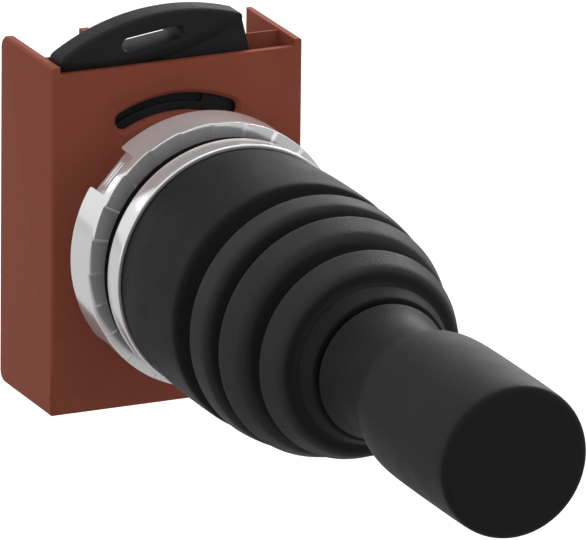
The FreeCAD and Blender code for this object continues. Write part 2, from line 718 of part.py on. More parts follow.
def make_plunger(x, z):
    tip = ROCKER_REAR + PLUNGER_LIFT
    r = PLUNGER_HEAD_R
    outline = [
        (tip + r, r), (PLUNGER_COLLAR_Y, r), (PLUNGER_COLLAR_Y, PLUNGER_COLLAR_R),
        (PLUNGER_COLLAR_Y + PLUNGER_COLLAR_T, PLUNGER_COLLAR_R),
        (PLUNGER_COLLAR_Y + PLUNGER_COLLAR_T, PLUNGER_STEM_R),
        (PLUNGER_REAR - 0.4, PLUNGER_STEM_R), (PLUNGER_REAR, PLUNGER_STEM_R - 0.4),
        (PLUNGER_REAR, 0), (tip + r, 0),
    ]
    body = turned(outline)
    dome = Part.makeSphere(r, V(0, tip + r, 0))
    front = box(-r, r, tip - 1, tip + r, -r, r)
    body = body.fuse(dome.common(front)).removeSplitter()
    body.translate(V(x, 0, z))
    return body


def guide_disc(y0, thick, hole_r, centre_r):
    disc = rod(BARREL_BORE_R - STATIC, V(0, y0, 0), Y_DIR, thick)
    for x, z in plunger_places().values():
        disc = disc.cut(rod(hole_r, V(x, y0 - 1, z), Y_DIR, thick + 2))
    return disc.cut(rod(centre_r, V(0, y0 - 1, 0), Y_DIR, thick + 2))


def make_guide_front():
    body = guide_disc(GUIDE_FRONT_Y + 0.01, GUIDE_FRONT_T, PLUNGER_HEAD_R + RUN, GUIDE_SCREW_R + STATIC)
    return body


def make_guide_rear():
    return guide_disc(GUIDE_REAR_Y, GUIDE_REAR_T, PLUNGER_STEM_R + RUN, GUIDE_SCREW_R + STATIC)


def make_guide_post():
    y0 = GUIDE_FRONT_Y + GUIDE_FRONT_T + 0.02
    return tube(POST_R, GUIDE_SCREW_R + STATIC, y0, GUIDE_REAR_Y - 0.01)


def make_guide_screw():
    y1 = GUIDE_REAR_Y + GUIDE_REAR_T + 0.01
    shank = rod(GUIDE_SCREW_R, V(0, GUIDE_FRONT_Y + 0.3, 0), Y_DIR, y1 - GUIDE_FRONT_Y)
    head = rod(GUIDE_SCREW_HEAD_R, V(0, y1, 0), Y_DIR, 1.3)
    body = head.fuse(shank).removeSplitter()
    wide = GUIDE_SCREW_HEAD_R + 1
    slot = box(-wide, wide, y1 + 0.7, y1 + 2, -0.3, 0.3)
    return body.cut(slot)


# Boot, its collar, and the grip
def make_boot():
    return turned(BOOT_OUT + BOOT_IN)


def make_boot_collar():
    front = BOOT_OUT[-1][0]
    lip_r = BOOT_IN[0][1]
    rear = front + BOOT_COLLAR_DEPTH
    outline = [
        (rear, SHAFT_R + STATIC), (rear, lip_r - SOFT_GAP - BOOT_COLLAR_EDGE),
        (rear - BOOT_COLLAR_EDGE, lip_r - SOFT_GAP), (front - SOFT_GAP, lip_r - SOFT_GAP),
        (front - SOFT_GAP, SOCKET_R - 0.15), (front - SOFT_GAP - 0.8, SOCKET_R - 0.15),
        (front - SOFT_GAP - 0.8, SHAFT_R + STATIC),
    ]
    return turned(outline)


def make_handle_locknut():
    y1 = BOOT_OUT[-1][0] - SOFT_GAP - 0.85
    body = hexagon(NUT_FLATS, y1 - NUT_HEIGHT, y1)
    return body.cut(rod(SHAFT_R + STATIC, V(0, y1 - NUT_HEIGHT - 1, 0), Y_DIR, NUT_HEIGHT + 2))


def make_grip():
    """Turned grip: smooth waist curve, blind bore for the shaft, rear socket."""
    front = GRIP_OUT[-1]
    curve = Part.BSplineCurve()
    curve.interpolate([V(r, y, 0) for y, r in GRIP_OUT])
    round_r = GRIP_TIP_ROUND
    corner = V(front[1] - 0.02, GRIP_TIP + round_r, 0)
    rear_y = GRIP_OUT[0][0]
    floor_y = rear_y - SOCKET_DEPTH
    bore_y = SHAFT_FRONT - 0.2
    tip_mid = V(corner.x - round_r * 0.293, GRIP_TIP + round_r * 0.293, 0)
    tip_in = V(corner.x - round_r, GRIP_TIP, 0)
    edges = [curve.toShape(), Part.makeLine(V(front[1], front[0], 0), corner),
             Part.Arc(corner, tip_mid, tip_in).toShape()]
    chain = [tip_in, V(0, GRIP_TIP, 0), V(0, bore_y, 0), V(SHAFT_R + STATIC, bore_y, 0),
             V(SHAFT_R + STATIC, floor_y, 0), V(SOCKET_R, floor_y, 0), V(SOCKET_R, rear_y, 0),
             V(GRIP_OUT[0][1], rear_y, 0)]
    for p, q in zip(chain[:-1], chain[1:]):
        edges.append(Part.makeLine(p, q))
    face = Part.Face(Part.Wire(Part.__sortEdges__(edges)))
    return face.revolve(ORIGIN, Y_DIR, 360)


save("barrel_body", make_barrel())
save("panel_gasket", make_gasket())
save("bezel_ring", make_bezel())
save("fixing_nut", make_nut())
save("holder", make_holder())
save("lock_lever", make_lever())
save("lever_washer", make_lever_washer())
save("holder_circlip", make_holder_circlip())
save("guide_circlip", make_guide_circlip())
save("holder_key", make_key())
save("gimbal_ring", make_gimbal())
save("trunnion_pins", make_trunnions())
save("pivot_bushes", make_bushes())
save("cross_pin", make_cross_pin())
save("stick_shaft", make_shaft())
save("rocker_plate", make_rocker())
save("rocker_screw", make_rocker_screw())
save("gate_ring", make_gate())
save("return_spring", make_return_spring())
save("spring_seat", make_spring_seat())
save("plunger_springs", make_plunger_springs())
for place, (px, pz) in plunger_places().items():
    save("plunger_" + place, make_plunger(px, pz))
save("guide_front", make_guide_front())
save("guide_rear", make_guide_rear())
save("guide_post", make_guide_post())
save("guide_screw", make_guide_screw())
save("boot", make_boot())
save("boot_collar", make_boot_collar())
save("handle_locknut", make_handle_locknut())
save("handle_grip", make_grip())
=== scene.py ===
import math
import bpy
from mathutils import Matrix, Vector


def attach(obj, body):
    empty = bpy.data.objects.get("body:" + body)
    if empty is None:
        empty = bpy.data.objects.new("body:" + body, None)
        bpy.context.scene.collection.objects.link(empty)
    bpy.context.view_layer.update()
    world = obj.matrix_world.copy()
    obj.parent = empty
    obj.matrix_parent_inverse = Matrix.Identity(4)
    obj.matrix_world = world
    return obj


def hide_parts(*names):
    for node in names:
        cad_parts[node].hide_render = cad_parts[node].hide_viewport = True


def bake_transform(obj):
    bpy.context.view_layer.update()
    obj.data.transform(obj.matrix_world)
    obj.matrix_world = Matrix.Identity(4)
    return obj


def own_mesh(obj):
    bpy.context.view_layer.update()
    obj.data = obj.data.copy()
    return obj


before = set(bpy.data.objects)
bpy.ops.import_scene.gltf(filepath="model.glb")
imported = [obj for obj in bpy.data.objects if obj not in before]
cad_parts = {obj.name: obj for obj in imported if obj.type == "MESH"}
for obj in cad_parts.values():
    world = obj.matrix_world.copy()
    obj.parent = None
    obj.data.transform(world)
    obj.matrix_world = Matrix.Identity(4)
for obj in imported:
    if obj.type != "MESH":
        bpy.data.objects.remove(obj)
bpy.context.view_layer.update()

# Barrel
# A turned brass tube, nickel plated. Its flange clamps the boot and gasket against the panel,
# and the thread behind the panel takes the ring nut. The front tube carries the stick's pivots.
MM = 0.001
FULL_TURN = 2 * math.pi
FINE_STEPS = 128
SAME_POINT = 2e-6
MARK_FINENESS = 9000.0


def edit(piece, mode):
    """Select one piece alone and leave it in object mode or in edit mode."""
    if bpy.context.mode != "OBJECT":
        bpy.ops.object.mode_set(mode="OBJECT")
    bpy.ops.object.select_all(action="DESELECT")
    piece.select_set(True)
    bpy.context.view_layer.objects.active = piece
    if mode == "EDIT":
        bpy.ops.object.mode_set(mode="EDIT")


def first_point(name, place):
    """Start a piece as one selected point at a place (x, y, z) in mm, in edit mode."""
    bpy.ops.object.select_all(action="DESELECT")
    bpy.ops.mesh.primitive_plane_add(size=2 * MM)
    piece = bpy.context.object
    piece.name = name
    piece.data.name = name
    edit(piece, "EDIT")
    bpy.ops.mesh.select_all(action="SELECT")
    bpy.ops.mesh.merge(type="CENTER")
    bpy.ops.transform.translate(value=[c * MM for c in place])
    return piece


def draw_on(steps):
    """Extrude the selected point by one step (x, y, z) in mm after another."""
    for step in steps:
        move = {"value": [c * MM for c in step]}
        bpy.ops.mesh.extrude_region_move(TRANSFORM_OT_translate=move)


def draw_outline(name, outline):
    """Draw a piece's outline of (y, radius) points in mm as a line in one plane."""
    first_y, first_r = outline[0]
    piece = first_point(name, (first_r, first_y, 0))
    draw_on([(r1 - r0, y1 - y0, 0) for (y0, r0), (y1, r1) in zip(outline, outline[1:])])
    bpy.ops.mesh.select_all(action="SELECT")
    return piece


def turn_on_lathe(name, outline, steps=FINE_STEPS):
    """Draw an outline and spin it once round the barrel axis."""
    piece = draw_outline(name, outline)
    bpy.ops.mesh.spin(steps=steps, angle=FULL_TURN, center=(0, 0, 0), axis=(0, 1, 0))
    bpy.ops.mesh.select_all(action="SELECT")
    bpy.ops.mesh.remove_doubles(threshold=SAME_POINT)
    bpy.ops.mesh.normals_make_consistent(inside=False)
    edit(piece, "OBJECT")
    return piece


def soften(piece, levels=0, bevel=0.0, segments=2, crease=30, shade=40):
    """Bevel sharp edges, subdivide, apply both, and shade smooth below an angle."""
    edit(piece, "OBJECT")
    if bevel:
        edge = piece.modifiers.new("edge", "BEVEL")
        edge.width = bevel * MM
        edge.segments = segments
        edge.limit_method = "ANGLE"
        edge.angle_limit = math.radians(crease)
        bpy.ops.object.modifier_apply(modifier=edge.name)
    if levels:
        surface = piece.modifiers.new("surface", "SUBSURF")
        surface.levels = levels
        surface.render_levels = levels
        bpy.ops.object.modifier_apply(modifier=surface.name)
    bpy.ops.object.shade_smooth_by_angle(angle=math.radians(shade))


def dress(piece, material):
    """Give a new piece its finish."""
    piece.data.materials.clear()
    piece.data.materials.append(material)


def dress_node(name, material):
    """Give a carried-over CAD node its finish through its object's own slots."""
    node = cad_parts[name]
    for place in node.material_slots:
        place.link = "OBJECT"
        place.material = material


def new_group(name, inputs, outputs):
    """Make an empty shader node group with its named sockets."""
    group = bpy.data.node_groups.new(name, "ShaderNodeTree")
    for label, kind, value in inputs:
        made = group.interface.new_socket(label, in_out="INPUT", socket_type=kind)
        if value is not None:
            made.default_value = value
    for label, kind in outputs:
        group.interface.new_socket(label, in_out="OUTPUT", socket_type=kind)
    return group


def lathe_marks_group():
    """Fine turning marks that run round the barrel axis, and a slow drift of polish."""
    group = new_group("lathe_marks", [("Fineness", "NodeSocketFloat", MARK_FINENESS)],
                      [("Height", "NodeSocketFloat"), ("Drift", "NodeSocketFloat")])
    nodes, link = group.nodes, group.links.new
    inlet = nodes.new("NodeGroupInput")
    outlet = nodes.new("NodeGroupOutput")
    where = nodes.new("ShaderNodeTexCoord")
    split = nodes.new("ShaderNodeSeparateXYZ")
    link(where.outputs["Object"], split.inputs[0])

    def reckon(operation, *values):
        step = nodes.new("ShaderNodeMath")
        step.operation = operation
        for value, socket in zip(values, step.inputs):
            link(value, socket)
        return step.outputs[0]

    x_squared = reckon("MULTIPLY", split.outputs["X"], split.outputs["X"])
    z_squared = reckon("MULTIPLY", split.outputs["Z"], split.outputs["Z"])
    radius = reckon("SQRT", reckon("ADD", x_squared, z_squared))
    along = reckon("ADD", radius, split.outputs["Y"])
    rings = nodes.new("ShaderNodeTexNoise")
    rings.noise_dimensions = "1D"
    rings.inputs["Scale"].default_value = 1.0
    rings.inputs["Detail"].default_value = 3.0
    link(reckon("MULTIPLY", along, inlet.outputs["Fineness"]), rings.inputs["W"])
    clouds = nodes.new("ShaderNodeTexNoise")
    clouds.inputs["Scale"].default_value = 260.0
    clouds.inputs["Detail"].default_value = 4.0
    link(where.outputs["Object"], clouds.inputs["Vector"])
    link(rings.outputs["Fac"], outlet.inputs["Height"])
    link(clouds.outputs["Fac"], outlet.inputs["Drift"])
    return group


lathe_marks = lathe_marks_group()


def metal_finish(name, color, rough_low, rough_high, mark, metallic=1.0):
    """A turned or plated metal: reflecting base, drifting polish, fine marks as bump."""
    material = bpy.data.materials.new(name)
    material.use_nodes = True
    nodes, link = material.node_tree.nodes, material.node_tree.links.new
    shader = nodes["Principled BSDF"]
    shader.inputs["Metallic"].default_value = metallic
    marks = nodes.new("ShaderNodeGroup")
    marks.node_tree = lathe_marks
    marks.inputs["Fineness"].default_value = MARK_FINENESS
    rough = nodes.new("ShaderNodeMapRange")
    rough.inputs["From Min"].default_value = 0.3
    rough.inputs["From Max"].default_value = 0.7
    rough.inputs["To Min"].default_value = rough_low
    rough.inputs["To Max"].default_value = rough_high
    link(marks.outputs["Drift"], rough.inputs["Value"])
    link(rough.outputs["Result"], shader.inputs["Roughness"])
    tint = nodes.new("ShaderNodeMix")
    tint.data_type = "RGBA"
    tint.inputs["A"].default_value = (*[c * 0.93 for c in color], 1)
    tint.inputs["B"].default_value = (*color, 1)
    link(marks.outputs["Drift"], tint.inputs["Factor"])
    link(tint.outputs["Result"], shader.inputs["Base Color"])
    bump = nodes.new("ShaderNodeBump")
    bump.inputs["Strength"].default_value = 1.0
    bump.inputs["Distance"].default_value = mark * MM
    link(marks.outputs["Height"], bump.inputs["Height"])
    link(bump.outputs["Normal"], shader.inputs["Normal"])
    return material


plated = metal_finish("bright_plating", (0.82, 0.81, 0.81), 0.12, 0.18, 0.0012, metallic=0.58)
barrel_outline = [
    (-17.9, 10.62), (-17.9, 11.3), (-17.7, 11.5), (-1.5, 11.5), (-1.43, 11.55), (-1.43, 12.95),
    (-0.72, 13.0), (-0.7, 12.9), (-0.7, 11.45), (-0.65, 11.4), (0.0, 11.4), (0.0, 11.0),
    (1.15, 11.0), (1.35, 10.75), (1.4, 10.28), (11.3, 10.28), (11.6, 10.2), (17.0, 10.2),
    (17.0, 9.8), (17.56, 9.8), (17.56, 10.2), (18.3, 10.2), (18.6, 9.9), (18.6, 9.35),
    (18.55, 9.3), (16.2, 9.3), (16.2, 9.8), (15.64, 9.8), (15.64, 9.3), (1.6, 9.3), (1.6, 8.9),
    (-1.0, 8.9), (-1.6, 10.2), (-16.2, 10.2), (-16.2, 10.62), (-17.9, 10.62),
]
barrel = turn_on_lathe("barrel_tube", barrel_outline)
soften(barrel, bevel=0.05, segments=1)
dress(barrel, plated)
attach(barrel, "housing")
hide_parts("barrel_body")

# Barrel thread
# The rolled thread that the nut runs on, of a fine pitch with flat crests. One pitch of its
# flank is drawn and wound on with a screw.
THREAD_PITCH = 1.5
THREAD_START = 1.0
THREAD_TURNS = 6
THREAD_ROOT = 10.24
THREAD_DEPTH = 0.54
THREAD_FLANK = 0.42
THREAD_LAND = 0.33
thread = first_point("barrel_thread", (THREAD_ROOT, THREAD_START, 0))
draw_on([(THREAD_DEPTH, THREAD_FLANK, 0), (0, THREAD_LAND, 0),
         (-THREAD_DEPTH, THREAD_FLANK, 0), (0, THREAD_LAND, 0)])
edit(thread, "OBJECT")
wind = thread.modifiers.new("wind", "SCREW")
wind.axis = "Y"
wind.angle = FULL_TURN
wind.screw_offset = THREAD_PITCH * MM
wind.iterations = THREAD_TURNS
wind.steps = 64
wind.render_steps = 64
wind.use_merge_vertices = True
wind.merge_threshold = SAME_POINT
bpy.ops.object.modifier_apply(modifier=wind.name)
wall = thread.modifiers.new("wall", "SOLIDIFY")
wall.thickness = 0.05 * MM
bpy.ops.object.modifier_apply(modifier=wall.name)
edit(thread, "EDIT")
bpy.ops.mesh.select_all(action="SELECT")
bpy.ops.mesh.normals_make_consistent(inside=False)
edit(thread, "OBJECT")
bpy.ops.object.shade_smooth_by_angle(angle=math.radians(30))
dress(thread, plated)
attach(thread, "housing")
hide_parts("barrel_body")

# Panel gasket
# A black rubber cup seal, moulded, with a shallow groove round its rim. It lies round the
# barrel's flange and is squeezed on the panel's front.


def moulded_skin_group():
    """The fine spark grain of a mould, a slow unevenness, and the drift of gloss with it."""
    group = new_group("moulded_skin", [("Grain", "NodeSocketFloat", 4200.0),
                                       ("Waves", "NodeSocketFloat", 220.0)],
                      [("Height", "NodeSocketFloat"), ("Drift", "NodeSocketFloat")])
    nodes, link = group.nodes, group.links.new
    inlet = nodes.new("NodeGroupInput")
    outlet = nodes.new("NodeGroupOutput")
    where = nodes.new("ShaderNodeTexCoord")
    grain = nodes.new("ShaderNodeTexNoise")
    grain.inputs["Detail"].default_value = 5.0
    grain.inputs["Roughness"].default_value = 0.62
    waves = nodes.new("ShaderNodeTexNoise")
    waves.inputs["Detail"].default_value = 3.0
    for noise, label in ((grain, "Grain"), (waves, "Waves")):
        link(where.outputs["Object"], noise.inputs["Vector"])
        link(inlet.outputs[label], noise.inputs["Scale"])
    mixed = nodes.new("ShaderNodeMath")
    mixed.operation = "MULTIPLY_ADD"
    mixed.inputs[1].default_value = 0.25
    link(waves.outputs["Fac"], mixed.inputs[0])
    link(grain.outputs["Fac"], mixed.inputs[2])
    link(mixed.outputs[0], outlet.inputs["Height"])
    link(waves.outputs["Fac"], outlet.inputs["Drift"])
    return group


moulded_skin = moulded_skin_group()


def moulded_finish(name, dark, light, rough_low, rough_high, depth, grain=4200.0, specular=0.5):
    """A moulded plastic or rubber: two near tones, drifting gloss, grain as bump."""
    material = bpy.data.materials.new(name)
    material.use_nodes = True
    nodes, link = material.node_tree.nodes, material.node_tree.links.new
    shader = nodes["Principled BSDF"]
    shader.inputs["Specular IOR Level"].default_value = specular
    skin = nodes.new("ShaderNodeGroup")
    skin.node_tree = moulded_skin
    skin.inputs["Grain"].default_value = grain
    spread = nodes.new("ShaderNodeMapRange")
    spread.inputs["From Min"].default_value = 0.3
    spread.inputs["From Max"].default_value = 0.7
    link(skin.outputs["Drift"], spread.inputs["Value"])
    tone = nodes.new("ShaderNodeMix")
    tone.data_type = "RGBA"
    tone.inputs["A"].default_value = (*dark, 1)
    tone.inputs["B"].default_value = (*light, 1)
    link(spread.outputs["Result"], tone.inputs["Factor"])
    link(tone.outputs["Result"], shader.inputs["Base Color"])
    rough = nodes.new("ShaderNodeMapRange")
    rough.inputs["To Min"].default_value = rough_low
    rough.inputs["To Max"].default_value = rough_high
    link(spread.outputs["Result"], rough.inputs["Value"])
    link(rough.outputs["Result"], shader.inputs["Roughness"])
    bump = nodes.new("ShaderNodeBump")
    bump.inputs["Strength"].default_value = 1.0
    bump.inputs["Distance"].default_value = depth * MM
    link(skin.outputs["Height"], bump.inputs["Height"])
    link(bump.outputs["Normal"], shader.inputs["Normal"])
    return material


gasket_rubber = moulded_finish("gasket_rubber", (0.0018, 0.0018, 0.0019), (0.0028, 0.0028, 0.0029),
                               0.7, 0.8, 0.02, specular=0.03)
gasket = turn_on_lathe("gasket_seal", [
    (-1.42, 13.05), (-1.42, 13.6), (-1.36, 13.72), (-1.24, 13.75), (-0.85, 13.75), (-0.72, 13.7),
    (-0.6, 13.75), (-0.14, 13.75), (-0.03, 13.7), (0.0, 13.58), (0.0, 11.46), (-0.04, 11.42),
    (-0.66, 11.42), (-0.67, 13.02), (-0.7, 13.05), (-1.42, 13.05)])
soften(gasket, shade=50)
dress(gasket, gasket_rubber)
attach(gasket, "housing")
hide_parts("panel_gasket")

# Bezel ring
# A thin bright cup pressed over the boot's foot: a short plain wall with a rolled front edge
# where the rubber comes out, and a web behind it that the gasket sits against.
BEZEL_STEPS = 160
bezel = turn_on_lathe("bezel_cup", [
    (-1.46, 12.68), (-1.46, 13.88), (-1.48, 13.95), (-1.54, 13.99), (-1.66, 14.01), (-4.24, 14.13),
    (-4.36, 14.12), (-4.43, 14.09), (-4.46, 14.02), (-4.46, 13.72), (-4.44, 13.69), (-4.4, 13.68),
    (-2.2, 13.68), (-2.08, 13.64), (-2.04, 13.55), (-2.04, 12.7),
    (-1.96, 12.655), (-1.8, 12.64), (-1.48, 12.64), (-1.46, 12.68)], steps=BEZEL_STEPS)
soften(bezel, shade=60)
dress(bezel, plated)
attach(bezel, "housing")
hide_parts("bezel_ring")

# Boot
# A moulded rubber bellows: a plain sleeve over the pivot tube, then three folds that get smaller
# towards the stick, each with a rounded front edge, a deep groove and a sharp rear lip. It is
# made in two lengths that meet at the bottom of the second groove.
SOFT_STEPS = 72
# The folds' outer bands behind CREST_FROM are given a paler colour: a painted highlight for the
# light that they catch.
CREST_FROM = -22.0
CREST_LINE_Y = -24.0
CREST_LINE_R = 12.8
CREST_TAPER = 0.25
PAINTED_HIGHLIGHT_START = 0.6
PAINTED_HIGHLIGHT_FADE = 0.4
boot_rubber = moulded_finish("boot_rubber", (0.0050, 0.0050, 0.0051), (0.0070, 0.0070, 0.0071),
                             0.48, 0.58, 0.050, grain=5200.0, specular=0.12)
rubber_nodes = boot_rubber.node_tree.nodes
rubber_shader = rubber_nodes["Principled BSDF"]
rubber_tone = rubber_shader.inputs["Base Color"].links[0].from_socket
# Painted highlight: a paler colour mixed in on the folds' outer bands, for the light that falls on
# them.
painted_highlight_mask = rubber_nodes.new("ShaderNodeAttribute")
painted_highlight_mask.attribute_name = "crest"
painted_highlight_mix = rubber_nodes.new("ShaderNodeMix")
painted_highlight_mix.data_type = "RGBA"
painted_highlight_mix.inputs["B"].default_value = (0.0270, 0.0270, 0.0272, 1)
boot_rubber.node_tree.links.new(rubber_tone, painted_highlight_mix.inputs["A"])
boot_rubber.node_tree.links.new(painted_highlight_mask.outputs["Fac"], painted_highlight_mix.inputs["Factor"])
boot_rubber.node_tree.links.new(painted_highlight_mix.outputs["Result"], rubber_shader.inputs["Base Color"])


def paint_crest_highlight(piece):
    """Mark the folds' outer bands for a paler colour, a painted highlight where they catch the
    light.
    """
    crest = piece.data.attributes.new("crest", "FLOAT", "POINT")
    for vertex in piece.data.vertices:
        along = vertex.co.y / MM
        out = math.hypot(vertex.co.x, vertex.co.z) / MM
        proud = out - (CREST_LINE_R + CREST_TAPER * (along - CREST_LINE_Y))
        share = min(max((proud - PAINTED_HIGHLIGHT_START) / PAINTED_HIGHLIGHT_FADE, 0.0), 1.0)
        crest.data[vertex.index].value = share if along < CREST_FROM else 0.0


sleeve_outline = [
    (-1.62, 12.5), (-2.0, 12.52), (-2.3, 12.9), (-3.0, 13.45), (-4.0, 13.64), (-4.7, 13.7),
    (-6.8, 13.92), (-9.6, 14.12), (-13.5, 14.2), (-17.4, 14.2), (-18.6, 14.19), (-19.05, 14.12),
    (-19.35, 13.92), (-19.5, 13.6), (-19.72, 13.0), (-20.3, 11.7), (-20.9, 10.75), (-21.3, 10.45),
    (-21.75, 10.6), (-22.35, 11.7), (-22.9, 13.1), (-23.1, 13.86), (-23.14, 13.97), (-23.2, 14.0),
    (-23.34, 14.0), (-24.2, 13.93), (-25.3, 13.82), (-25.8, 13.74), (-26.12, 13.55),
    (-26.28, 13.2), (-26.5, 12.6), (-26.95, 11.5), (-27.3, 10.6), (-27.5, 10.18), (-27.57, 10.06),
    (-27.6, 10.0), (-27.6, 9.92), (-27.6, 9.3), (-27.6, 9.18), (-27.55, 9.12), (-27.1, 9.4),
    (-26.3, 11.2), (-25.3, 12.9), (-23.9, 13.0), (-23.2, 12.3), (-22.4, 10.4), (-21.8, 9.7),
    (-21.2, 9.5), (-20.5, 9.9), (-19.6, 11.4), (-18.9, 12.7), (-17.6, 13.1), (-9.5, 13.0),
    (-6.0, 12.6), (-3.3, 12.0), (-3.05, 11.7), (-3.0, 11.6), (-2.9, 11.56), (-1.62, 11.56),
    (-1.54, 11.6), (-1.52, 11.7), (-1.52, 12.4), (-1.54, 12.46), (-1.62, 12.5),
]
cone_outline = [
    (-27.6, 10.0), (-27.64, 9.98), (-27.8, 9.98), (-28.2, 10.6), (-28.8, 12.2), (-29.1, 13.16),
    (-29.15, 13.3), (-29.22, 13.35), (-29.36, 13.34), (-30.2, 13.08), (-31.3, 12.72),
    (-31.85, 12.52), (-32.2, 12.28), (-32.4, 11.9), (-32.65, 11.2), (-33.1, 10.0), (-33.6, 9.1),
    (-33.95, 8.8), (-34.35, 8.95), (-34.85, 9.8), (-35.35, 10.9), (-35.58, 11.42),
    (-35.63, 11.53), (-35.7, 11.57), (-35.84, 11.54), (-36.5, 11.26), (-37.55, 10.86),
    (-38.05, 10.64), (-38.4, 10.36), (-38.58, 9.95), (-38.72, 9.3), (-38.86, 8.95), (-39.05, 8.8),
    (-39.3, 8.76), (-39.62, 8.72), (-39.72, 8.68), (-40.4, 8.32), (-41.0, 8.02), (-41.14, 7.92),
    (-41.2, 7.76), (-41.2, 7.4), (-41.2, 5.8), (-41.18, 5.66), (-41.1, 5.6), (-40.2, 5.6),
    (-40.1, 5.7), (-39.9, 7.2), (-39.3, 7.7), (-38.2, 8.0), (-37.7, 9.2), (-36.9, 10.0),
    (-36.2, 10.2), (-35.7, 9.7), (-34.9, 8.0), (-34.2, 7.4), (-33.6, 7.6), (-32.9, 8.6),
    (-32.0, 10.9), (-31.3, 11.7), (-30.0, 12.2), (-29.4, 11.9), (-28.6, 9.9), (-28.0, 9.2),
    (-27.65, 9.14), (-27.6, 9.18), (-27.6, 9.3), (-27.6, 9.92), (-27.6, 10.0),
]
for name, outline, bodies, start, end in (
        ("boot_sleeve", sleeve_outline, ("housing", "gimbal"), -18.0, -27.4),
        ("boot_folds", cone_outline, ("gimbal", "stick"), -27.8, -39.8)):
    boot = turn_on_lathe(name, outline, steps=SOFT_STEPS)
    soften(boot, levels=1, shade=70)
    paint_crest_highlight(boot)
    dress(boot, boot_rubber)
    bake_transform(boot)
    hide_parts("boot")

# Handle grip
# A turned-looking moulded rod: flared skirt, waist, soft shoulder and a plain barrel with a
# flat end face. It is pressed on the shaft, and its skirt hides the locknut.
grip_plastic = moulded_finish("grip_plastic", (0.0075, 0.0075, 0.0076), (0.0095, 0.0095, 0.0096),
                              0.46, 0.55, 0.045, grain=5600.0, specular=0.12)
grip_outline = [
    (-74.1, 0.0), (-74.1, 3.0), (-74.1, 6.5), (-74.1, 7.45), (-74.09, 7.6), (-74.04, 7.85),
    (-73.92, 8.08), (-73.7, 8.26), (-73.4, 8.32), (-72.6, 8.36), (-68.0, 8.4), (-61.0, 8.4),
    (-57.0, 8.36), (-54.8, 8.27), (-53.0, 8.02), (-51.4, 7.45), (-50.0, 6.85), (-48.6, 6.4),
    (-47.0, 6.22), (-45.4, 6.35), (-43.8, 6.72), (-42.6, 7.18), (-42.1, 7.4), (-41.95, 7.46),
    (-41.87, 7.48), (-41.85, 7.42), (-41.85, 7.3), (-41.85, 6.4), (-41.87, 6.28), (-41.95, 6.22),
    (-42.1, 6.2), (-44.7, 6.2), (-44.83, 6.17), (-44.85, 6.05), (-44.85, 3.2), (-44.88, 3.08),
    (-45.0, 3.05), (-66.1, 3.05), (-66.2, 3.0), (-66.2, 2.9), (-66.2, 0.0),
]
grip = turn_on_lathe("grip_moulding", grip_outline, steps=SOFT_STEPS)
soften(grip, levels=1, shade=60)
dress(grip, grip_plastic)
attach(grip, "stick")
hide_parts("handle_grip")

# Fixing nut
# A plated die-cast ring nut. Its front has 24 sawtooth steps that bite the panel, each a long
# rise and a short fall. Its rear rim has four key notches with two fine rings on their floor.
NUT_TEETH = 24
NUT_STEP = 360.0 / NUT_TEETH
NUT_FALL = 1.4
NUT_RISE = 0.3
NUT_FACE_END = 2.0
NUT_TURN = 2.1
NUT_SEAM = 5e-6
NOTCH_FIRST = 137.7
NOTCH_STEP = 90
NOTCH_CUT = 2.6
NOTCH_FLOOR_R = 13.8
NOTCH_RING_R = 13.78
NOTCH_RING_WIRE = 0.14
nut_outline = [
    (2.2, 11.9), (1.53, 11.9), (1.53, 12.3), (1.53, 14.6), (1.53, 14.88), (1.56, 14.94),
    (1.62, 14.95), (2.1, 14.95), (6.0, 14.95), (6.22, 14.94), (6.3, 14.9), (6.33, 14.82),
    (6.33, 14.5), (6.33, 11.4), (5.9, 10.86), (3.23, 10.86), (3.23, 11.9), (2.2, 11.9),
]
notch_steps = [
    (0, 3.05, 0), (0, 0.26, -0.05), (0, 0.2, -0.15), (0, 0.13, -0.25), (0, 0.8, 0), (0, 0, 6.14),
    (0, -0.8, 0), (0, -0.13, -0.25), (0, -0.2, -0.15), (0, -0.26, -0.05), (0, -3.05, 0),
]
nut = draw_outline("nut_casting", nut_outline)
bpy.ops.mesh.remove_doubles(threshold=SAME_POINT)
for steps, angle in ((7, NUT_STEP - NUT_FALL), (2, NUT_FALL)):
    bpy.ops.mesh.spin(steps=steps, angle=math.radians(angle), center=(0, 0, 0), axis=(0, 1, 0))
edit(nut, "OBJECT")
for vertex in nut.data.vertices:
    if vertex.co.y < NUT_FACE_END * MM:
        turned = math.degrees(math.atan2(vertex.co.z, vertex.co.x)) % 360.0
        turned = 0.0 if turned > 359.0 else turned
        rise = min(turned / (NUT_STEP - NUT_FALL), (NUT_STEP - turned) / NUT_FALL)
        vertex.co.y -= NUT_RISE * MM * rise
bpy.ops.object.empty_add()
turner = bpy.context.object
turner.rotation_euler = (0, -math.radians(NUT_STEP), 0)
bpy.context.view_layer.update()
ring = nut.modifiers.new("ring", "ARRAY")
ring.count = NUT_TEETH
ring.use_relative_offset = False
ring.use_object_offset = True
ring.offset_object = turner
ring.use_merge_vertices = True
ring.use_merge_vertices_cap = True
ring.merge_threshold = NUT_SEAM
edit(nut, "OBJECT")
bpy.ops.object.modifier_apply(modifier=ring.name)
bpy.data.objects.remove(turner)
edit(nut, "EDIT")
bpy.ops.mesh.select_all(action="SELECT")
bpy.ops.mesh.remove_doubles(threshold=NUT_SEAM)
bpy.ops.mesh.normals_make_consistent(inside=False)
edit(nut, "OBJECT")
nut.rotation_euler = (0, -math.radians(NUT_TURN), 0)
bpy.ops.object.transform_apply(location=False, rotation=True, scale=False)
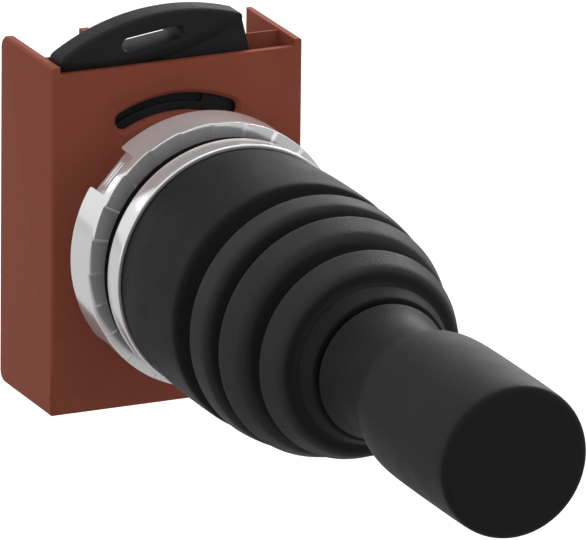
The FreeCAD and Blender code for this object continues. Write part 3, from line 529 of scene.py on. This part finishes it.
for quarter in range(4):
    key = first_point("notch_key", (NOTCH_FLOOR_R, 2.7, -2.62))
    draw_on(notch_steps)
    bpy.ops.mesh.select_all(action="SELECT")
    bpy.ops.mesh.edge_face_add()
    draw_on([(NOTCH_CUT, 0, 0)])
    bpy.ops.mesh.select_all(action="SELECT")
    bpy.ops.mesh.normals_make_consistent(inside=False)
    edit(key, "OBJECT")
    key.rotation_euler = (0, -math.radians(NOTCH_FIRST + NOTCH_STEP * quarter), 0)
    bpy.ops.object.transform_apply(location=False, rotation=True, scale=False)
    edit(nut, "OBJECT")
    notch = nut.modifiers.new("notch", "BOOLEAN")
    notch.operation = "DIFFERENCE"
    notch.solver = "EXACT"
    notch.object = key
    bpy.ops.object.modifier_apply(modifier=notch.name)
    bpy.data.objects.remove(key)
soften(nut, bevel=0.05, segments=2, crease=18, shade=16)
for y in (5.25, 5.8):
    bpy.ops.mesh.primitive_torus_add(major_radius=NOTCH_RING_R * MM,
                                     minor_radius=NOTCH_RING_WIRE * MM,
                                     major_segments=144, minor_segments=10,
                                     location=(0, y * MM, 0), rotation=(math.pi / 2, 0, 0))
    line = bpy.context.object
    bpy.ops.object.transform_apply(location=True, rotation=True, scale=False)
    bpy.ops.object.shade_smooth()
    line.select_set(True)
    nut.select_set(True)
    bpy.context.view_layer.objects.active = nut
    bpy.ops.object.join()
dress(nut, plated)
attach(nut, "nut")
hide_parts("fixing_nut")

# Holder
# The brown-red moulded block that is pushed on the barrel behind the panel and carries the
# contact blocks. Its mould edges are softly broken, and two shallow steps run low on its front.
holder_plastic = moulded_finish("holder_plastic", (0.262, 0.069, 0.041), (0.290, 0.078, 0.047),
                                0.55, 0.65, 0.015, grain=2400.0, specular=0.08)


def mould_edges(node_name, name, bevel, segments=2, shade=32):
    """Take the shape of a CAD node, join its loose facets, and break its edges."""
    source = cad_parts[node_name]
    piece = bpy.data.objects.new(name, source.data.copy())
    bpy.context.collection.objects.link(piece)
    edit(piece, "EDIT")
    bpy.ops.mesh.select_all(action="SELECT")
    bpy.ops.mesh.remove_doubles(threshold=SAME_POINT)
    bpy.ops.mesh.dissolve_limited(angle_limit=math.radians(1.0))
    edit(piece, "OBJECT")
    soften(piece, bevel=bevel, segments=segments, crease=28, shade=shade)
    return piece


holder = mould_edges("holder", "holder_block", bevel=0.12, shade=18)
dress(holder, holder_plastic)
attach(holder, "housing")
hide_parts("holder")

# Lock lever
# A black satin moulding: a ring that turns on the holder's collar, and a head with a through
# slot that rises out of the holder's top. Swinging it locks the holder to the barrel.
lever_plastic = moulded_finish("lever_plastic", (0.0190, 0.0190, 0.0191), (0.0225, 0.0225, 0.0226),
                               0.48, 0.56, 0.018, grain=4400.0, specular=0.08)
lever = mould_edges("lock_lever", "lever_moulding", bevel=0.36, segments=3)
dress(lever, lever_plastic)
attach(lever, "lever")
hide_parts("lock_lever")

# Stick and gimbal
# Turned steel shaft with its rocker plate, brass gimbal and pins, and the gate that limits the
# tilt. They are seen only with the boot off, and keep the CAD's shapes.
turned_steel = metal_finish("turned_steel", (0.56, 0.56, 0.57), 0.26, 0.38, 0.006)
machined_brass = metal_finish("machined_brass", (0.66, 0.50, 0.24), 0.26, 0.40, 0.006)
for name in ("trunnion_pins", "cross_pin", "stick_shaft", "rocker_plate", "rocker_screw",
             "gate_ring", "spring_seat", "handle_locknut", "guide_post", "guide_screw",
             "holder_key"):
    dress_node(name, turned_steel)
for name in ("gimbal_ring", "pivot_bushes"):
    dress_node(name, machined_brass)
dress_node("boot_collar", lever_plastic)

# Plungers, guides and clips
# Four uncoloured moulded plungers that slide in two guide plates in the barrel. Spring-steel
# clips hold the rear plate and the holder, and a wavy washer lies behind the lever's ring.
guide_plastic = moulded_finish("guide_plastic", (0.50, 0.48, 0.43), (0.56, 0.54, 0.49),
                               0.38, 0.48, 0.01, specular=0.45)
spring_steel = metal_finish("spring_steel", (0.42, 0.42, 0.44), 0.24, 0.34, 0.004)
for name in ("plunger_top", "plunger_bottom", "plunger_left", "plunger_right",
             "guide_front", "guide_rear"):
    dress_node(name, guide_plastic)
for name in ("guide_circlip", "holder_circlip", "lever_washer"):
    dress_node(name, spring_steel)

# Springs
# The conical return spring under the boot and four small springs behind the plungers, all
# wound from drawn round wire.
POINTS_PER_TURN = 16
RETURN_WIRE = 0.7
PLUNGER_WIRE = 0.38
PLUNGER_COIL_R = 1.72


def wind_spring(name, foot_r, head_r, y0, y1, turns, wire, centre=(0, 0)):
    """Draw a coil's centre line as a smooth curve and give it a round wire."""
    curve = bpy.data.curves.new(name, "CURVE")
    curve.dimensions = "3D"
    curve.bevel_depth = wire / 2 * MM
    curve.bevel_resolution = 2
    curve.use_fill_caps = True
    line = curve.splines.new("NURBS")
    count = int(turns * POINTS_PER_TURN) + 1
    line.points.add(count - 1)
    for i in range(count):
        share = i / (count - 1)
        turned = FULL_TURN * turns * share
        radius = foot_r + (head_r - foot_r) * share
        x = centre[0] + radius * math.cos(turned)
        z = centre[1] + radius * math.sin(turned)
        line.points[i].co = (x * MM, (y0 + (y1 - y0) * share) * MM, z * MM, 1)
    line.order_u = 3
    line.use_endpoint_u = True
    line.resolution_u = 2
    coil = bpy.data.objects.new(name, curve)
    bpy.context.collection.objects.link(coil)
    edit(coil, "OBJECT")
    bpy.ops.object.convert(target="MESH")
    coil = bpy.context.object
    coil.name = name
    bpy.ops.object.shade_smooth_by_angle(angle=math.radians(60))
    return coil


for name, foot, head, y0, y1, turns, bodies, start, end in (
        ("return_spring_rear", 7.7, 9.2, -25.2, -18.4, 2.5, ("housing", "gimbal"), -18.2, -25.2),
        ("return_spring_front", 4.5, 7.7, -32.2, -25.2, 2.5, ("gimbal", "stick"), -25.2, -32.2)):
    coil = wind_spring(name, foot, head, y0, y1, turns, RETURN_WIRE)
    dress(coil, spring_steel)
    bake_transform(coil)
    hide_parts("return_spring")
for place, x, z in (("top", 0, 6.5), ("bottom", 0, -6.5), ("right", 6.5, 0), ("left", -6.5, 0)):
    coil = wind_spring("plunger_spring_" + place, PLUNGER_COIL_R, PLUNGER_COIL_R, 6.75, 13.6, 6,
                       PLUNGER_WIRE, centre=(x, z))
    dress(coil, spring_steel)
    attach(coil, "housing")
    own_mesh(coil)
    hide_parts("plunger_springs")

# Studio
# A pale floor, soft lamps above, beside and behind the object, and the camera at the
# photograph's viewing angle.
bpy.ops.mesh.primitive_plane_add(size=6, location=(0, 0, -0.055))
floor = bpy.context.object
floor.name = "floor"
paper = bpy.data.materials.new("paper")
paper.use_nodes = True
nodes, links = paper.node_tree.nodes, paper.node_tree.links
paper_shader = nodes["Principled BSDF"]
paper_shader.inputs["Base Color"].default_value = (0.35, 0.35, 0.35, 1)
paper_shader.inputs["Roughness"].default_value = 0.9
paper_shader.inputs["Specular IOR Level"].default_value = 0.1
bright_shader = nodes.new("ShaderNodeBsdfPrincipled")
bright_shader.inputs["Base Color"].default_value = (0.6, 0.6, 0.6, 1)
bright_shader.inputs["Roughness"].default_value = 0.9
bright_shader.inputs["Emission Color"].default_value = (1, 1, 1, 1)
bright_shader.inputs["Emission Strength"].default_value = 0.5
floor_path = nodes.new("ShaderNodeLightPath")
floor_share = nodes.new("ShaderNodeMath")
floor_share.operation = "MULTIPLY_ADD"
floor_share.inputs[1].default_value = 0.35
links.new(floor_path.outputs["Is Glossy Ray"], floor_share.inputs[0])
links.new(floor_path.outputs["Is Camera Ray"], floor_share.inputs[2])
floor_mix = nodes.new("ShaderNodeMixShader")
links.new(floor_share.outputs[0], floor_mix.inputs["Fac"])
links.new(paper_shader.outputs[0], floor_mix.inputs[1])
links.new(bright_shader.outputs[0], floor_mix.inputs[2])
links.new(floor_mix.outputs[0], nodes["Material Output"].inputs["Surface"])
floor.data.materials.append(paper)

world = bpy.data.worlds.new("studio")
bpy.context.scene.world = world
world.use_nodes = True
nodes, links = world.node_tree.nodes, world.node_tree.links
nodes.clear()
out = nodes.new("ShaderNodeOutputWorld")
path = nodes.new("ShaderNodeLightPath")
shown = nodes.new("ShaderNodeMath")
shown.operation = "MAXIMUM"
links.new(path.outputs["Is Camera Ray"], shown.inputs[0])
links.new(path.outputs["Is Glossy Ray"], shown.inputs[1])
room = nodes.new("ShaderNodeBackground")
room.inputs["Color"].default_value = (1, 1, 1, 1)
room.inputs["Strength"].default_value = 0.72
backdrop = nodes.new("ShaderNodeBackground")
backdrop.inputs["Color"].default_value = (1, 1, 1, 1)
backdrop.inputs["Strength"].default_value = 1.0
choose = nodes.new("ShaderNodeMixShader")
links.new(shown.outputs[0], choose.inputs["Fac"])
links.new(room.outputs[0], choose.inputs[1])
links.new(backdrop.outputs[0], choose.inputs[2])
links.new(choose.outputs[0], out.inputs["Surface"])


def hang_lamp(name, place, aim, size, power):
    """A square soft lamp hung at a place and turned to look at a point."""
    data = bpy.data.lights.new(name, "AREA")
    data.shape = "SQUARE"
    data.size = size
    data.energy = power
    lamp = bpy.data.objects.new(name, data)
    bpy.context.collection.objects.link(lamp)
    lamp.location = place
    lamp.rotation_euler = (Vector(aim) - Vector(place)).to_track_quat("-Z", "Y").to_euler()


hang_lamp("top_lamp", (0.15, 0.2, 0.8), (0, -0.02, 0), 0.6, 1.9)
hang_lamp("front_lamp", (-0.7, -0.6, 0.35), (0, -0.02, 0), 0.5, 0.3)
hang_lamp("left_lamp", (-0.8, 0.25, 0.0), (0, -0.02, 0), 0.3, 0.6)
hang_lamp("right_lamp", (0.6, 0.5, 0.38), (0, -0.03, 0), 0.25, 3.0)
hang_lamp("left_back_lamp", (-0.345, 0.74, 0.275), (0, -0.02, 0), 0.07, 0.10)
hang_lamp("right_back_lamp", (0.40, 0.76, 0.19), (0, -0.02, 0), 0.1, 0.22)

lens = bpy.data.cameras.new("view")
lens.sensor_fit = "HORIZONTAL"
lens.sensor_width = 36.0
lens.lens = 749.5543
lens.clip_start = 0.1
lens.clip_end = 10.0
camera = bpy.data.objects.new("view", lens)
bpy.context.collection.objects.link(camera)
camera.location = (-0.5184484, -1.1448240, 0.4062249)
camera.rotation_euler = [math.radians(a) for a in (72.0369117, -0.6202211, -24.5239244)]
bpy.context.scene.camera = camera
bpy.context.scene.view_settings.view_transform = "Standard"
